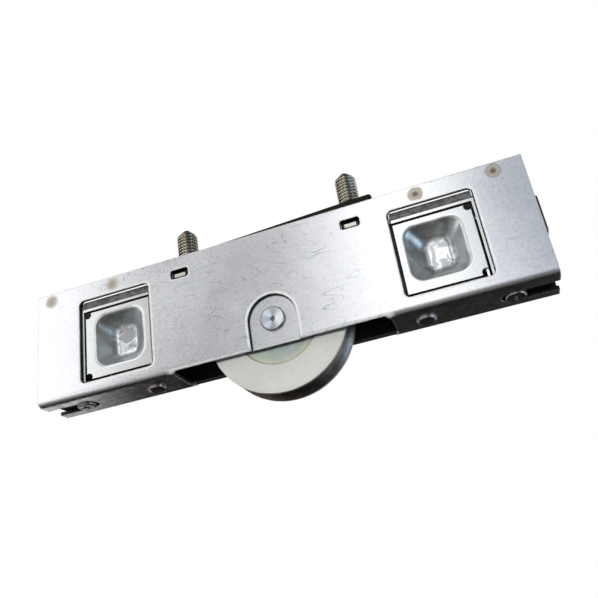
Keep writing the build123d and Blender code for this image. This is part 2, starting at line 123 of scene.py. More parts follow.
class Graph:
    """A node tree, with short names for the kinds of node that it needs."""

    def __init__(self, tree, coordinates):
        self.tree = tree
        tree.nodes.clear()
        place = tree.nodes.new("ShaderNodeTexCoord")
        self.place = place.outputs[coordinates]
        split = tree.nodes.new("ShaderNodeSeparateXYZ")
        self.link(self.place, split.inputs[0])
        self.x, self.y, self.z = split.outputs
        facing = tree.nodes.new("ShaderNodeSeparateXYZ")
        self.link(place.outputs["Normal"], facing.inputs[0])
        self.normal_x, self.normal_y, self.normal_z = facing.outputs

    def link(self, source, target):
        self.tree.links.new(source, target)

    def put(self, socket, value):
        """Links a node's output, or writes a plain value, to a socket."""
        if isinstance(value, bpy.types.NodeSocket):
            self.link(value, socket)
        elif isinstance(value, (tuple, list)) and len(value) == 3 and socket.type == "RGBA":
            socket.default_value = (*value, 1.0)
        else:
            socket.default_value = value

    def math(self, operation, first, second=0.0, clamp=False):
        node = self.tree.nodes.new("ShaderNodeMath")
        node.operation = operation
        node.use_clamp = clamp
        for socket, value in zip(node.inputs, (first, second)):
            self.put(socket, value)
        return node.outputs[0]

    def mapped(self, turn, scale):
        node = self.tree.nodes.new("ShaderNodeMapping")
        self.link(self.place, node.inputs["Vector"])
        node.inputs["Rotation"].default_value = [math.radians(angle) for angle in turn]
        node.inputs["Scale"].default_value = scale
        return node.outputs[0]

    def noise(self, scale, detail=2.0, roughness=0.5, distortion=0.0, vector=None):
        node = self.tree.nodes.new("ShaderNodeTexNoise")
        self.link(vector or self.place, node.inputs["Vector"])
        node.inputs["Scale"].default_value = scale
        node.inputs["Detail"].default_value = detail
        node.inputs["Roughness"].default_value = roughness
        node.inputs["Distortion"].default_value = distortion
        return node.outputs[0]

    def cells(self, scale):
        node = self.tree.nodes.new("ShaderNodeTexVoronoi")
        self.link(self.place, node.inputs["Vector"])
        node.inputs["Scale"].default_value = scale
        return node.outputs["Distance"]

    def step(self, value, start, end, low=0.0, high=1.0):
        """Smooth change from low to high as the value goes from start to end."""
        node = self.tree.nodes.new("ShaderNodeMapRange")
        node.interpolation_type = "SMOOTHSTEP"
        for socket, number in zip(node.inputs, (value, start, end, low, high)):
            self.put(socket, number)
        return node.outputs[0]

    def ramp(self, value, stops):
        node = self.tree.nodes.new("ShaderNodeValToRGB")
        self.put(node.inputs[0], value)
        entries = node.color_ramp.elements
        while len(entries) < len(stops):
            entries.new(0.5)
        for entry, (where, color) in zip(entries, stops):
            entry.position = where
            entry.color = (*color, 1.0)
        return node.outputs[0]

    def mix(self, amount, first, second, blend="MIX"):
        node = self.tree.nodes.new("ShaderNodeMix")
        node.data_type = "RGBA"
        node.blend_type = blend
        self.put(node.inputs["Factor"], amount)
        self.put(node.inputs[6], first)
        self.put(node.inputs[7], second)
        return node.outputs[2]

    def distance(self, *parts):
        """Length of a vector given by its parts."""
        total = None
        for part in parts:
            square = self.math("MULTIPLY", part, part)
            total = square if total is None else self.math("ADD", total, square)
        return self.math("SQRT", total)

    def outline(self, middle_x, middle_z, half_width, half_height, corner):
        """Distance outside a rounded opening's outline, negative inside it, in either half."""
        aside = self.math("ABSOLUTE", self.math("SUBTRACT", self.math("ABSOLUTE", self.x), middle_x))
        upward = self.math("ABSOLUTE", self.math("SUBTRACT", self.z, middle_z))
        past_x = self.math("SUBTRACT", aside, half_width - corner)
        past_z = self.math("SUBTRACT", upward, half_height - corner)
        beyond = self.distance(self.math("MAXIMUM", past_x, 0.0), self.math("MAXIMUM", past_z, 0.0))
        within = self.math("MINIMUM", self.math("MAXIMUM", past_x, past_z), 0.0)
        return self.math("SUBTRACT", self.math("ADD", beyond, within), corner)

    def bump(self, height, strength, depth, normal=None):
        node = self.tree.nodes.new("ShaderNodeBump")
        node.inputs["Strength"].default_value = strength
        node.inputs["Distance"].default_value = depth
        self.link(height, node.inputs["Height"])
        if normal is not None:
            self.link(normal, node.inputs["Normal"])
        return node.outputs[0]

    def soft_edges(self, radius):
        """Normals that round every sharp edge a little."""
        node = self.tree.nodes.new("ShaderNodeBevel")
        node.samples = 4
        node.inputs["Radius"].default_value = radius
        return node.outputs[0]


class Finish(Graph):
    """A material made of one principled shader."""

    def __init__(self, name):
        self.material = bpy.data.materials.new(name)
        self.material.use_nodes = True
        super().__init__(self.material.node_tree, "Object")
        output = self.tree.nodes.new("ShaderNodeOutputMaterial")
        self.shader = self.tree.nodes.new("ShaderNodeBsdfPrincipled")
        self.link(self.shader.outputs["BSDF"], output.inputs["Surface"])

    def set(self, **values):
        """Sets the shader's own sockets, by name with spaces as underscores."""
        for name, value in values.items():
            self.put(self.shader.inputs[name.replace("_", " ")], value)


# Finishes

def hairs(g, scale, turn, width, mask_scale):
    """Thin curved scratches along the level lines of a noise, broken by another noise."""
    field = g.noise(scale, 0.0, 0.4, vector=g.mapped(turn=turn, scale=(0.3, 1.0, 1.0)))
    away = g.math("ABSOLUTE", g.math("SUBTRACT", field, 0.5))
    line = g.step(away, 0.0, width, 1.0, 0.0)
    return g.math("MULTIPLY", line, g.step(g.noise(mask_scale, 1.0), 0.46, 0.60))


def scratches(g, strength=1.0):
    """Sets of long and short scratches that cross, as 0 to 1."""
    every = 0.0
    for scale, angle, width in (
        (140.0, 30, 0.0050),
        (190.0, -50, 0.0070),
        (260.0, 75, 0.0090),
        (330.0, -15, 0.0110),
        (480.0, 52, 0.0120),
        (560.0, -70, 0.0140),
    ):
        every = g.math("MAXIMUM", every, hairs(g, scale, (0, angle, 0), width, 0.7 * scale))
    return g.math("MULTIPLY", every, strength)


def inner_side(g):
    """1 on faces that look towards the middle plane, 0 on those that look out."""
    side = g.math("SIGN", g.y)
    return g.step(g.math("MULTIPLY", g.normal_y, side), -0.75, -0.35, 1.0, 0.0)


def cut_faces(g, wall_from):
    """1 on the sheet's own cut faces in the side walls, which start wall_from the middle plane."""
    outward = g.math("ABSOLUTE", g.normal_y)
    in_wall = g.step(g.math("ABSOLUTE", g.y), wall_from, wall_from + 0.06 * MM)
    return g.math("MULTIPLY", g.step(outward, 0.2, 0.5, 1.0, 0.0), in_wall)


def near_edges(g, rounded):
    """1 beside sharp edges, from how far the rounded normal leans away from the face's own."""
    face = g.tree.nodes.new("ShaderNodeNewGeometry")
    dot = g.tree.nodes.new("ShaderNodeVectorMath")
    dot.operation = "DOT_PRODUCT"
    g.link(rounded, dot.inputs[0])
    g.link(face.outputs["True Normal"], dot.inputs[1])
    return g.step(dot.outputs["Value"], 0.90, 0.985, 1.0, 0.0)


def specks(g, scale, size):
    """Small pits and dust marks, sparse."""
    dots = g.step(g.cells(scale), 0.0, size, 1.0, 0.0)
    sparse = g.step(g.noise(scale * 0.11, 1.0), 0.56, 0.66)
    return g.math("MULTIPLY", dots, sparse)


def sheet_steel(name, color, roughness, wall_from, scratch=1.0, edge=0.12 * MM, details=None):
    """Rolled sheet: cloudy gloss, fine sparkle, scratches, painted highlights on edges, and painted
    shade: near black on cut faces and on faces looking to the middle, brownish patches on faces looking
    down.
    """
    g = Finish(name)
    cloud = g.noise(38.0, 3.0, 0.55)
    grain = g.noise(2400.0, 2.0, 0.65)
    crowd = g.step(g.noise(22.0, 1.0), 0.40, 0.60, 0.50, 1.0)
    crowd = g.math("MULTIPLY", crowd, g.step(g.x, *SCRATCHED_RIGHT, 1.0, 0.22))
    crowd = g.math("MULTIPLY", crowd, g.step(g.x, *SCRATCHED_LEFT, 0.15, 1.0))
    marks = g.math("MULTIPLY", scratches(g, scratch), crowd)
    dots = specks(g, 620.0, 0.10)
    darker = tuple(part * 0.93 for part in color)
    tone = g.mix(g.step(cloud, 0.35, 0.65), darker, color)
    tone = g.mix(g.step(grain, 0.28, 0.50, 0.20, 0.0), tone, (0.24, 0.26, 0.31))
    tone = g.mix(g.math("MULTIPLY", marks, 0.75), tone, SCRATCH_BLUE)
    tone = g.mix(g.math("MULTIPLY", dots, 0.55), tone, (0.12, 0.11, 0.10))
    rough = g.step(cloud, 0.3, 0.7, roughness - 0.03, roughness + 0.05)
    rough = g.math("ADD", rough, g.math("MULTIPLY", g.math("SUBTRACT", grain, 0.5), 0.14))
    rough = g.math("ADD", rough, g.math("MULTIPLY", marks, 0.12))
    height = g.math("SUBTRACT", g.math("MULTIPLY", grain, 0.5), marks)
    under = g.step(g.normal_z, -0.92, -0.7, 1.0, 0.0)
    # Faces that look down get brownish patches of painted shade
    underside_shade_patches = g.step(g.noise(420.0, 4.0, 0.65), 0.35, 0.62)
    tone = g.mix(g.math("MULTIPLY", under, g.math("MULTIPLY", underside_shade_patches, 0.5)), tone, (0.22, 0.19, 0.16))
    rough = g.math("ADD", rough, g.math("MULTIPLY", under, 0.10))
    # Faces that look towards the middle plane are painted near black and rougher: painted shade
    shaded_inner_faces = inner_side(g)
    tone = g.mix(g.math("MULTIPLY", shaded_inner_faces, 0.97), tone, (0.012, 0.011, 0.010))
    rough = g.math("ADD", rough, g.math("MULTIPLY", shaded_inner_faces, 0.25))
    rounded = g.soft_edges(edge)
    shaded_cut_faces = cut_faces(g, wall_from)
    hidden = g.math("MAXIMUM", shaded_cut_faces, shaded_inner_faces)
    # Edges, apart from cut faces and faces looking to the middle, get a painted highlight
    painted_edge_highlight = g.math("MULTIPLY", near_edges(g, rounded), g.math("SUBTRACT", 1.0, hidden))
    painted_edge_highlight = g.math("MULTIPLY", painted_edge_highlight, g.step(g.noise(500.0, 2.0), 0.30, 0.55, 0.55, 1.0))
    # Cut faces in the walls are painted near black: painted shade
    tone = g.mix(g.math("MULTIPLY", shaded_cut_faces, 0.94), tone, (0.020, 0.019, 0.020))
    rough = g.math("ADD", rough, g.math("MULTIPLY", shaded_cut_faces, 0.25))
    spare = g.math("MULTIPLY", under, SHEET_METALLIC - 1.0)
    surface = {"tone": tone, "rough": rough, "height": height, "white": painted_edge_highlight, "metal": spare}
    if details is not None:
        details(g, surface)
    # Where the painted highlight mask is set, the tone turns near white and less mirror-like
    tone = g.mix(surface["white"], surface["tone"], PAINTED_HIGHLIGHT)
    metal = g.math("SUBTRACT", SHEET_METALLIC, g.math("MULTIPLY", surface["white"], 0.67))
    metal = g.math("SUBTRACT", metal, surface["metal"], clamp=True)
    g.set(Base_Color=tone, Roughness=surface["rough"], Metallic=metal)
    g.set(Normal=g.bump(surface["height"], 0.25, 0.02 * MM, rounded))
    return g.material


def add_rims(g, surface):
    """Painted highlights, near white, round the openings and along the wheel's gap, and a painted
    highlight patch by the left slot.
    """
    outside = g.step(g.math("ABSOLUTE", g.y), OUTER_FACE - 0.4 * MM, OUTER_FACE - 0.1 * MM)
    arch = g.step(g.outline(*ARCH), 0.55 * MM, 0.85 * MM, 1.0, 0.0)
    window = g.step(g.outline(*WINDOW), 0.45 * MM, 0.80 * MM, 0.9, 0.0)
    slot = g.step(g.outline(*TAB_SLOT), 0.30 * MM, 0.60 * MM, 0.8, 0.0)
    rims = g.math("MULTIPLY", g.math("MAXIMUM", arch, g.math("MAXIMUM", window, slot)), outside)
    # A painted highlight strip along the lower edge beside the wheel's gap
    along = g.step(g.math("ABSOLUTE", g.x), THROAT_HALF, THROAT_HALF + 2.0 * MM, 1.0, 0.0)
    lip = g.step(g.z, THROAT_EDGE_Z + 0.45 * MM, THROAT_EDGE_Z + 0.8 * MM, 1.0, 0.0)
    looks_out = g.step(g.math("ABSOLUTE", g.normal_y), 0.25, 0.5)
    lip = g.math("MULTIPLY", lip, g.math("MULTIPLY", along, looks_out))
    # A painted highlight patch on the downward faces by the left slot
    aside = g.math("ABSOLUTE", g.math("SUBTRACT", g.x, SLOT_HIGHLIGHT[0]))
    inward = g.math("ABSOLUTE", g.math("SUBTRACT", g.y, SLOT_HIGHLIGHT[1]))
    slot_patch_highlight = g.step(aside, 3.0 * MM, 3.8 * MM, 1.0, 0.0)
    slot_patch_highlight = g.math("MULTIPLY", slot_patch_highlight, g.step(inward, 1.2 * MM, 1.9 * MM, 1.0, 0.0))
    slot_patch_highlight = g.math("MULTIPLY", slot_patch_highlight, g.step(g.normal_z, -0.9, -0.5, 1.0, 0.0))
    lip = g.math("MAXIMUM", lip, slot_patch_highlight)
    highlight_breakup = g.step(g.noise(420.0, 2.0), 0.30, 0.50, 0.6, 1.0)
    facing = g.math("SUBTRACT", 1.0, inner_side(g))
    rims = g.math("MULTIPLY", g.math("MULTIPLY", g.math("MAXIMUM", rims, lip), highlight_breakup), facing)
    surface["white"] = g.math("MAXIMUM", surface["white"], rims)


def housing_details(g, surface):
    """Heat marks at the welds and painted highlights along the rims."""
    add_welds(g, surface)
    add_rims(g, surface)


def yoke_details(g, surface):
    """A dark line of painted shade where the tongue meets the arch, and faint rings round the axle head.
    """
    near = g.math("ABSOLUTE", g.outline(*ARCH))
    line = g.step(near, 0.20 * MM, 0.42 * MM, 1.0, 0.0)
    surface["tone"] = g.mix(g.math("MULTIPLY", line, 0.93), surface["tone"], (0.03, 0.03, 0.03))
    surface["white"] = g.math("MULTIPLY", surface["white"], g.math("SUBTRACT", 1.0, line))
    radius = g.distance(g.x, g.math("SUBTRACT", g.z, WHEEL_Z))
    ripple = g.math("SINE", g.math("MULTIPLY", radius, 2 * math.pi / (0.5 * MM)))
    ripple = g.math("MULTIPLY", ripple, g.step(radius, 4.0 * MM, 6.5 * MM, 1.0, 0.0))
    ripple = g.math("MULTIPLY", ripple, g.step(g.noise(260.0, 1.0), 0.42, 0.62))
    surface["height"] = g.math("ADD", surface["height"], g.math("MULTIPLY", ripple, 0.5))
    surface["tone"] = g.mix(g.step(ripple, 0.1, 0.9, 0.0, 0.22), surface["tone"], (0.25, 0.26, 0.28))


def bracket_details(g, surface):
    """Painted shade: dark lines at each leaf's root, within the window borders and at the fold, darker
    patches on the dull sloping pocket walls and deep in the pockets, and a dark grey flap.
    """
    aside = g.math("ABSOLUTE", g.math("SUBTRACT", g.math("ABSOLUTE", g.x), CREASE_X))
    crease = g.step(aside, 0.15 * MM, 0.32 * MM, 1.0, 0.0)
    border = g.step(g.outline(*WINDOW), -0.42 * MM, -0.25 * MM)
    from_fold = g.math("ABSOLUTE", g.math("SUBTRACT", g.z, FLAP_Z - 1.4 * MM))
    fold = g.step(from_fold, 0.15 * MM, 0.32 * MM, 1.0, 0.0)
    dark = g.math("MAXIMUM", g.math("MAXIMUM", crease, border), fold)
    slope = g.math("ABSOLUTE", g.normal_y)
    slanted = g.math("MULTIPLY", g.step(slope, 0.90, 0.985, 1.0, 0.0), g.step(slope, 0.12, 0.22))
    # Sloping pocket walls are painted darker grey in patches: painted shade
    pocket_wall_shade_noise = g.step(g.noise(170.0, 3.0, 0.55, 0.6), 0.34, 0.62)
    wall = g.mix(pocket_wall_shade_noise, (0.30, 0.30, 0.28), (0.60, 0.63, 0.65))
    surface["tone"] = g.mix(g.math("MULTIPLY", slanted, 0.85), surface["tone"], wall)
    surface["rough"] = g.math("ADD", surface["rough"], g.math("MULTIPLY", slanted, 0.16))
    # Patches deep in the pockets are painted darker grey: painted shade
    deep = g.step(g.math("ABSOLUTE", g.y), 2.6 * MM, 3.4 * MM, 1.0, 0.0)
    deep_shade = g.math("MULTIPLY", deep, g.step(g.noise(300.0, 2.0, 0.5, 1.2), 0.44, 0.56, 1.0, 0.0))
    surface["tone"] = g.mix(g.math("MULTIPLY", deep_shade, 0.75), surface["tone"], (0.28, 0.29, 0.30))
    # Dark lines of painted shade at the leaf roots, window borders and fold
    surface["tone"] = g.mix(g.math("MULTIPLY", dark, 0.94), surface["tone"], PAINTED_SHADE_BLACK)
    # The flap's upward-leaning faces are painted dark grey and dull: painted shade
    flap = g.step(g.math("ABSOLUTE", g.math("SUBTRACT", g.z, FLAP_Z)), 1.3 * MM, 1.5 * MM, 1.0, 0.0)
    leaning = g.math("MULTIPLY", g.step(g.normal_z, 0.05, 0.2), g.step(slope, 0.3, 0.5))
    shaded_flap = g.math("MULTIPLY", flap, leaning)
    flap_shade_tone = g.mix(g.step(g.noise(700.0, 3.0), 0.40, 0.60), (0.07, 0.07, 0.07), (0.19, 0.19, 0.20))
    surface["tone"] = g.mix(g.math("MULTIPLY", shaded_flap, 0.9), surface["tone"], flap_shade_tone)
    surface["metal"] = g.math("ADD", surface["metal"], g.math("MULTIPLY", shaded_flap, 0.9))
    surface["white"] = g.math("MULTIPLY", surface["white"], g.math("SUBTRACT", 1.0, dark))


def plate_details(g, surface):
    """Cream tab ends with a dark border of painted shade, as they show in the slots."""
    border = g.step(g.outline(*TAB_END), -0.05 * MM, 0.15 * MM)
    surface["tone"] = g.mix(g.math("MULTIPLY", border, 0.95), surface["tone"], (0.02, 0.02, 0.018))
    surface["rough"] = g.math("ADD", surface["rough"], g.math("MULTIPLY", border, 0.2))
    surface["white"] = g.math("MULTIPLY", surface["white"], g.math("SUBTRACT", 1.0, border))


def add_welds(g, surface):
    """Tan heat marks and a shallow dent at each spot weld on the outer faces."""
    across = g.math("ABSOLUTE", g.math("ADD", g.x, WELD_SHIFT))
    up = g.math("SUBTRACT", g.z, WELD_Z)
    near = g.distance(g.math("SUBTRACT", across, WELD_NEAR), up)
    far = g.distance(g.math("SUBTRACT", across, WELD_FAR), up)
    wobble = g.math("MULTIPLY", g.math("SUBTRACT", g.noise(700.0, 4.0, 0.6), 0.5), 1.1 * MM)
    radius = g.math("ADD", g.math("MINIMUM", near, far), wobble)
    outside = g.step(g.math("ABSOLUTE", g.y), OUTER_FACE - 0.15 * MM, OUTER_FACE - 0.05 * MM)
    strong = g.math("MULTIPLY", g.step(g.x, -0.02, 0.03, 0.0, 1.0), outside)
    soft = g.math("SUBTRACT", outside, strong)
    halo = g.step(radius, 1.2 * MM, 2.3 * MM, 1.0, 0.0)
    smear = g.step(radius, 0.9 * MM, 2.9 * MM, 1.0, 0.0)
    from_ring = g.math("ABSOLUTE", g.math("SUBTRACT", radius, 1.75 * MM))
    ring = g.step(from_ring, 0.10 * MM, 0.60 * MM, 1.0, 0.0)
    core = g.step(radius, 0.55 * MM, 1.25 * MM, 1.0, 0.0)
    pit = g.step(radius, 0.2 * MM, 0.65 * MM, 1.0, 0.0)
    tone = surface["tone"]
    tone = g.mix(g.math("MULTIPLY", smear, g.math("MULTIPLY", soft, 0.80)), tone, (0.46, 0.40, 0.31))
    tone = g.mix(g.math("MULTIPLY", core, g.math("MULTIPLY", soft, 0.35)), tone, (0.30, 0.25, 0.17))
    tone = g.mix(g.math("MULTIPLY", halo, g.math("MULTIPLY", strong, 0.75)), tone, HEAT_TAN)
    tone = g.mix(g.math("MULTIPLY", ring, g.math("MULTIPLY", strong, 0.45)), tone, HEAT_BROWN)
    tone = g.mix(g.math("MULTIPLY", core, g.math("MULTIPLY", strong, 0.80)), tone, (0.20, 0.15, 0.09))
    tone = g.mix(g.math("MULTIPLY", pit, g.math("MULTIPLY", strong, 0.70)), tone, (0.08, 0.06, 0.04))
    surface["tone"] = tone
    dull = g.math("MULTIPLY", g.math("MULTIPLY", halo, outside), 0.2)
    surface["rough"] = g.math("ADD", surface["rough"], dull)
    dent = g.math("MULTIPLY", g.step(radius, 0.7 * MM, 1.5 * MM, 1.0, 0.0), outside)
    surface["height"] = g.math("SUBTRACT", surface["height"], g.math("MULTIPLY", dent, 1.6))


def turned_steel(name, color, roughness, spacing, axis_part="y"):
    """Turned metal: fine rings along one axis, over a cloudy tone."""
    g = Finish(name)
    along = {"y": g.y, "z": g.z}[axis_part]
    wobble = g.math("MULTIPLY", g.noise(300.0, 2.0), spacing * 1.2)
    phase = g.math("MULTIPLY", g.math("ADD", along, wobble), 2 * math.pi / spacing)
    ridges = g.math("SINE", phase)
    cloud = g.noise(120.0, 3.0, 0.6)
    dots = specks(g, 900.0, 0.10)
    darker = tuple(part * 0.72 for part in color)
    tone = g.mix(g.step(cloud, 0.35, 0.68), darker, color)
    tone = g.mix(g.math("MULTIPLY", dots, 0.6), tone, (0.07, 0.06, 0.05))
    rough = g.step(cloud, 0.3, 0.7, roughness - 0.05, roughness + 0.08)
    g.set(Base_Color=tone, Metallic=1.0, Roughness=rough)
    g.set(Normal=g.bump(ridges, 0.22, 0.01 * MM, g.soft_edges(0.1 * MM)))
    return g.material


def moulded_nylon(name, color, roughness):
    """Cream moulded plastic with faint flow clouds, turning rings and a darker, browner tone near the
    rim.
    """
    g = Finish(name)
    up = g.math("SUBTRACT", g.z, WHEEL_Z)
    radius = g.distance(g.x, up)
    cloud = g.noise(90.0, 4.0, 0.55)
    fine = g.noise(1500.0, 3.0, 0.6)
    rings = g.math("SINE", g.math("MULTIPLY", radius, 2 * math.pi / (0.35 * MM)))
    darker = tuple(part * share for part, share in zip(color, (0.92, 0.915, 0.905)))
    tone = g.mix(g.step(cloud, 0.36, 0.64), darker, color)
    tone = g.mix(g.step(fine, 0.35, 0.5, 0.10, 0.0), tone, (0.50, 0.48, 0.42))
    rim = g.step(radius, WHEEL_RADIUS - 1.3 * MM, WHEEL_RADIUS)
    tone = g.mix(g.math("MULTIPLY", rim, 0.35), tone, (0.66, 0.62, 0.53))
    dots = specks(g, 800.0, 0.09)
    tone = g.mix(g.math("MULTIPLY", dots, 0.5), tone, (0.35, 0.31, 0.25))
    rough = g.step(fine, 0.3, 0.7, roughness - 0.05, roughness + 0.06)
    g.set(Base_Color=tone, Roughness=rough, Subsurface_Weight=0.06, Subsurface_Scale=0.5 * MM)
    g.set(Subsurface_Radius=(1.0, 0.85, 0.6), IOR=1.5)
    height = g.math("ADD", g.math("MULTIPLY", rings, 0.25), fine)
    g.set(Normal=g.bump(height, 0.12, 0.02 * MM, g.soft_edges(0.15 * MM)))
    return g.material


def cap_plastic(name):
    """Milky translucent cap, cooler towards its middle, with a yellow band of painted glow just within
    its edge and a thin dark olive rim of painted shade.
    """
    g = Finish(name)
    up = g.math("SUBTRACT", g.z, WHEEL_Z)
    radius = g.distance(g.x, up)
    cloud = g.noise(160.0, 3.0, 0.55)
    tone = g.mix(g.step(cloud, 0.35, 0.66), (0.47, 0.53, 0.47), (0.56, 0.61, 0.54))
    tone = g.mix(g.step(radius, 4.5 * MM, 9.5 * MM, 0.75, 0.0), tone, (0.43, 0.53, 0.56))
    # A yellow band of painted glow just within the edge
    tone = g.mix(g.step(radius, 9.4 * MM, 11.2 * MM, 0.0, 0.55), tone, (0.74, 0.73, 0.52))
    # A thin dark olive rim of painted shade
    rim = g.step(radius, CAP_RADIUS - 0.55 * MM, CAP_RADIUS)
    tone = g.mix(g.math("MULTIPLY", rim, 0.8), tone, (0.36, 0.34, 0.17))
    rough = g.step(cloud, 0.3, 0.7, 0.26, 0.38)
    g.set(Base_Color=tone, Roughness=rough, IOR=1.5, Subsurface_Weight=0.3)
    g.set(Subsurface_Scale=1.0 * MM, Subsurface_Radius=(0.7, 1.0, 0.8), Coat_Weight=0.25)
    g.set(Normal=g.bump(g.noise(700.0, 2.0), 0.08, 0.02 * MM, g.soft_edges(0.12 * MM)))
    return g.material


def axle_steel(name):
    """Peened axle head: a smooth bluish dish, its right half painted lighter as a painted highlight, with
    a dark ring at its mark, a bright middle and a painted shade round its edge.
    """
    g = Finish(name)
    radius = g.distance(g.x, g.math("SUBTRACT", g.z, WHEEL_Z))
    cloud = g.noise(350.0, 3.0, 0.6)
    tone = g.mix(g.step(cloud, 0.35, 0.66), (0.38, 0.42, 0.48), (0.52, 0.56, 0.62))
    # The right half is painted lighter: painted highlight
    tone = g.mix(g.step(g.x, -1.4 * MM, 1.6 * MM), tone, (0.60, 0.61, 0.61))
    from_mark = g.math("ABSOLUTE", g.math("SUBTRACT", radius, AXLE_MARK_RADIUS))
    ring = g.step(from_mark, 0.1 * MM, 0.3 * MM, 1.0, 0.0)
    tone = g.mix(g.math("MULTIPLY", ring, 0.8), tone, (0.12, 0.12, 0.12))
    # A dark edge of painted shade round the head
    edge = g.step(radius, AXLE_HEAD_RADIUS - 0.25 * MM, AXLE_HEAD_RADIUS)
    tone = g.mix(g.math("MULTIPLY", edge, 0.6), tone, (0.14, 0.14, 0.15))
    grain = g.noise(1800.0, 2.0)
    g.set(Base_Color=tone, Metallic=1.0, Roughness=g.step(cloud, 0.3, 0.7, 0.20, 0.28))
    g.set(Normal=g.bump(grain, 0.15, 0.01 * MM, g.soft_edges(0.1 * MM)))
    return g.material


def tyre_steel(name):
    """Dull dark running surface: fine turned rings, smeared brown and grey."""
    g = Finish(name)
    wobble = g.math("MULTIPLY", g.noise(300.0, 2.0), 0.25 * MM)
    phase = g.math("MULTIPLY", g.math("ADD", g.y, wobble), 2 * math.pi / (0.22 * MM))
    ridges = g.math("SINE", phase)
    cloud = g.noise(110.0, 4.0, 0.6)
    fine = g.noise(1400.0, 3.0, 0.65)
    tone = g.mix(g.step(cloud, 0.35, 0.66), (0.21, 0.18, 0.16), (0.37, 0.36, 0.36))
    tone = g.mix(g.step(fine, 0.35, 0.55, 0.40, 0.0), tone, (0.12, 0.08, 0.06))
    rough = g.step(fine, 0.3, 0.7, 0.36, 0.52)
    g.set(Base_Color=tone, Metallic=1.0, Roughness=rough)
    height = g.math("ADD", g.math("MULTIPLY", ridges, 0.3), fine)
    g.set(Normal=g.bump(height, 0.3, 0.02 * MM, g.soft_edges(0.12 * MM)))
    return g.material


def dark_steel(name):
    """Bar near black as a painted shade, with rubbed patches and a painted tan highlight along edges of
    its right half.
    """
    g = Finish(name)
    cloud = g.noise(140.0, 4.0, 0.6)
    grain = g.noise(2200.0, 2.0)
    rub = g.step(cloud, 0.58, 0.72)
    # Near black base tone: painted shade
    tone = g.mix(rub, (0.016, 0.013, 0.009), (0.05, 0.045, 0.035))
    marks = scratches(g)
    tone = g.mix(g.math("MULTIPLY", marks, 0.15), tone, (0.16, 0.15, 0.13))
    # Edges of the right half get a painted tan highlight
    edges = near_edges(g, g.soft_edges(0.3 * MM))
    edges = g.math("MULTIPLY", edges, g.step(g.normal_y, -0.3, 0.0))
    tone = g.mix(g.math("MULTIPLY", edges, g.step(g.x, 0.0, 0.02)), tone, (0.55, 0.50, 0.40))
    rough = g.step(cloud, 0.3, 0.7, 0.38, 0.52)
    g.set(Base_Color=tone, Metallic=0.85, Roughness=rough)
    g.set(Normal=g.bump(grain, 0.2, 0.02 * MM, g.soft_edges(0.12 * MM)))
    return g.material


def screw_steel(name):
    """Warm turned steel, near black in the thread roots."""
    g = Finish(name)
    from_left = g.distance(g.math("SUBTRACT", g.math("ABSOLUTE", g.x), SCREW_X), g.y)
    root = g.step(from_left, SCREW_RADIUS - THREAD_DEPTH, SCREW_RADIUS - 0.1 * MM, 1.0, 0.0)
    cloud = g.noise(260.0, 3.0, 0.6)
    tone = g.mix(g.step(cloud, 0.35, 0.66), (0.74, 0.68, 0.56), (0.95, 0.90, 0.78))
    tone = g.mix(g.math("MULTIPLY", root, 0.96), tone, (0.025, 0.020, 0.014))
    rough = g.math("ADD", g.step(cloud, 0.3, 0.7, 0.17, 0.25), g.math("MULTIPLY", root, 0.15))
    g.set(Base_Color=tone, Metallic=1.0, Roughness=rough)
    g.set(Normal=g.bump(g.noise(3000.0, 2.0), 0.15, 0.01 * MM))
    return g.material


# Threaded screws

